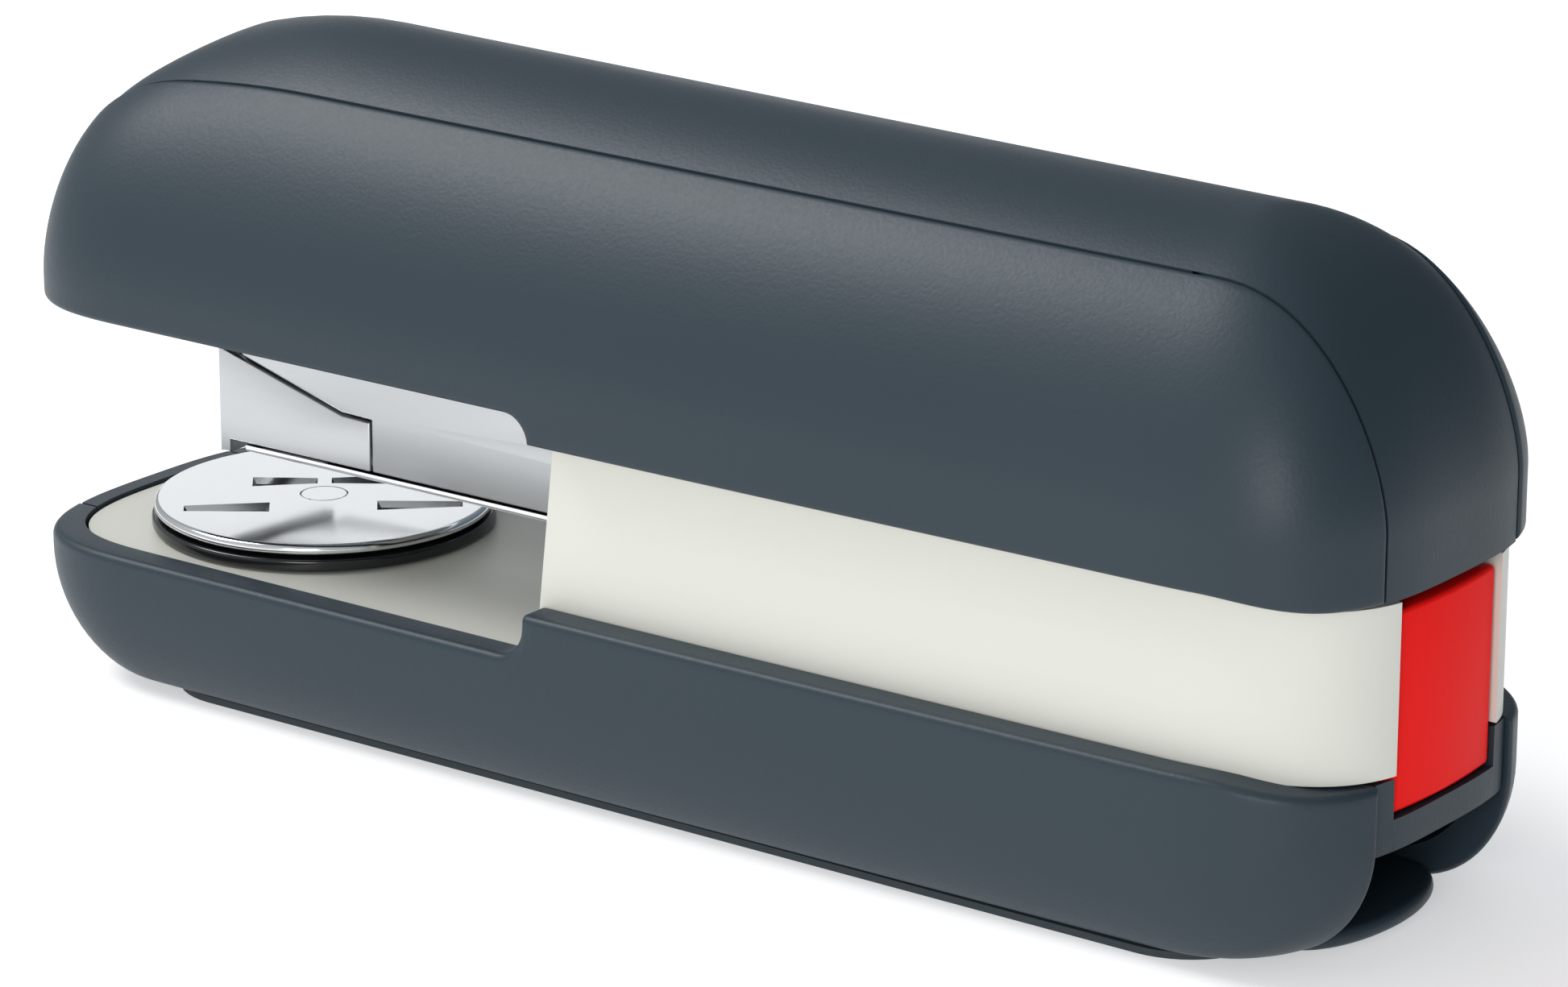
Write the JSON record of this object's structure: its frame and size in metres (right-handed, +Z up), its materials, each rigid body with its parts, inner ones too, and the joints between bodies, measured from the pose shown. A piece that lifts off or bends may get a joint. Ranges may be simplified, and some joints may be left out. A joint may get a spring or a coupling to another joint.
{
  "type": "desk stapler",
  "caption": "Desk stapler with a domed handle, front-opening staple drawer, turning anvil disc and a release button at the rear.",
  "frame": {"origin": "on the ground, under the middle of the stapler's box", "axes": "+X towards the rear with the release button, -X towards the nose where the staples come out, +Y across, +Z up"},
  "size_m": [0.1499, 0.0428, 0.0649],
  "materials": {
    "slate_plastic": "matte soft-touch slate blue",
    "cream_plastic": "satin off-white",
    "red_plastic": "satin red",
    "black_plastic": "glossy black",
    "sheet_steel": "satin nickel-plated sheet steel",
    "bright_steel": "polished chrome plate",
    "zinc_steel": "zinc-plated steel",
    "spring_steel": "drawn spring wire",
    "sole_rubber": "matte non-slip rubber"
  },
  "bodies": {
    "base": {"base_side_left": "slate_plastic", "base_side_right": "slate_plastic", "base_band": "slate_plastic", "base_screw_front_left": "zinc_steel", "base_screw_front_right": "zinc_steel", "base_screw_rear_left": "zinc_steel", "base_screw_rear_right": "zinc_steel", "sole": "sole_rubber", "chassis": "zinc_steel", "liner": "cream_plastic", "anvil_spring_washer": "spring_steel", "pivot_pin": "zinc_steel", "pin_clip_left": "spring_steel", "pin_clip_right": "spring_steel", "latch_pin": "zinc_steel", "lift_spring": "spring_steel"},
    "anvil": {"anvil_disc": "bright_steel", "anvil_ring": "black_plastic", "anvil_rivet": "bright_steel"},
    "button": {"release_button": "red_plastic", "button_spring": "spring_steel"},
    "latch": {"drawer_latch": "zinc_steel"},
    "magazine": {"magazine_housing": "sheet_steel", "return_spring": "spring_steel"},
    "drawer": {"drawer_rail": "bright_steel", "drawer_head": "sheet_steel", "pusher_rod": "bright_steel", "pusher_spring": "spring_steel"},
    "pusher": {"staple_pusher": "zinc_steel"},
    "driver": {"driver_blade": "sheet_steel"},
    "handle": {"handle_lever": "zinc_steel", "handle_side_left": "slate_plastic", "handle_side_right": "slate_plastic", "handle_band": "slate_plastic", "handle_screw_front": "zinc_steel", "handle_screw_rear": "zinc_steel"}
  },
  "joints": [
    {"name": "handle_press", "type": "hinge", "parent": "base", "child": "handle", "pos_m": [0.057, 0, 0.03], "axis": [0, -1, 0], "range_deg": [0, 6], "stiffness_Nm_per_rad": 4, "springref_deg": -5.73, "deforming": ["return_spring"]},
    {"name": "magazine_lower", "type": "hinge", "parent": "base", "child": "magazine", "pos_m": [0.057, 0, 0.03], "axis": [0, -1, 0], "range_deg": [0, 2.4], "stiffness_Nm_per_rad": 0.3, "springref_deg": -11.46, "deforming": ["lift_spring"]},
    {"name": "driver_stroke", "type": "slide", "parent": "magazine", "child": "driver", "axis": [0, 0, -1], "range_m": [0, 0.0075]},
    {"name": "drawer_slide", "type": "slide", "parent": "magazine", "child": "drawer", "axis": [1, 0, 0], "range_m": [-0.07, 0]},
    {"name": "pusher_slide", "type": "slide", "parent": "drawer", "child": "pusher", "axis": [1, 0, 0], "range_m": [0, 0.06], "stiffness_N_per_m": 15, "springref_m": -0.05},
    {"name": "button_press", "type": "slide", "parent": "base", "child": "button", "axis": [-1, 0, 0], "range_m": [0, 0.003], "stiffness_N_per_m": 400, "springref_m": -0.002},
    {"name": "latch_tilt", "type": "hinge", "parent": "base", "child": "latch", "pos_m": [0.049, 0, 0.0186], "axis": [0, -1, 0], "range_deg": [0, 32]},
    {"name": "anvil_turn", "type": "hinge", "parent": "base", "child": "anvil", "pos_m": [-0.052, 0, 0.0169], "axis": [0, 0, 1], "continuous": true}
  ],
  "couplings": [
    {"joint": "magazine_lower", "follows": "handle_press", "ratio": 0.3925},
    {"joint": "driver_stroke", "follows": "handle_press", "m_per_rad": 0.06871},
    {"joint": "latch_tilt", "follows": "button_press", "rad_per_m": 183.3}
  ]
}
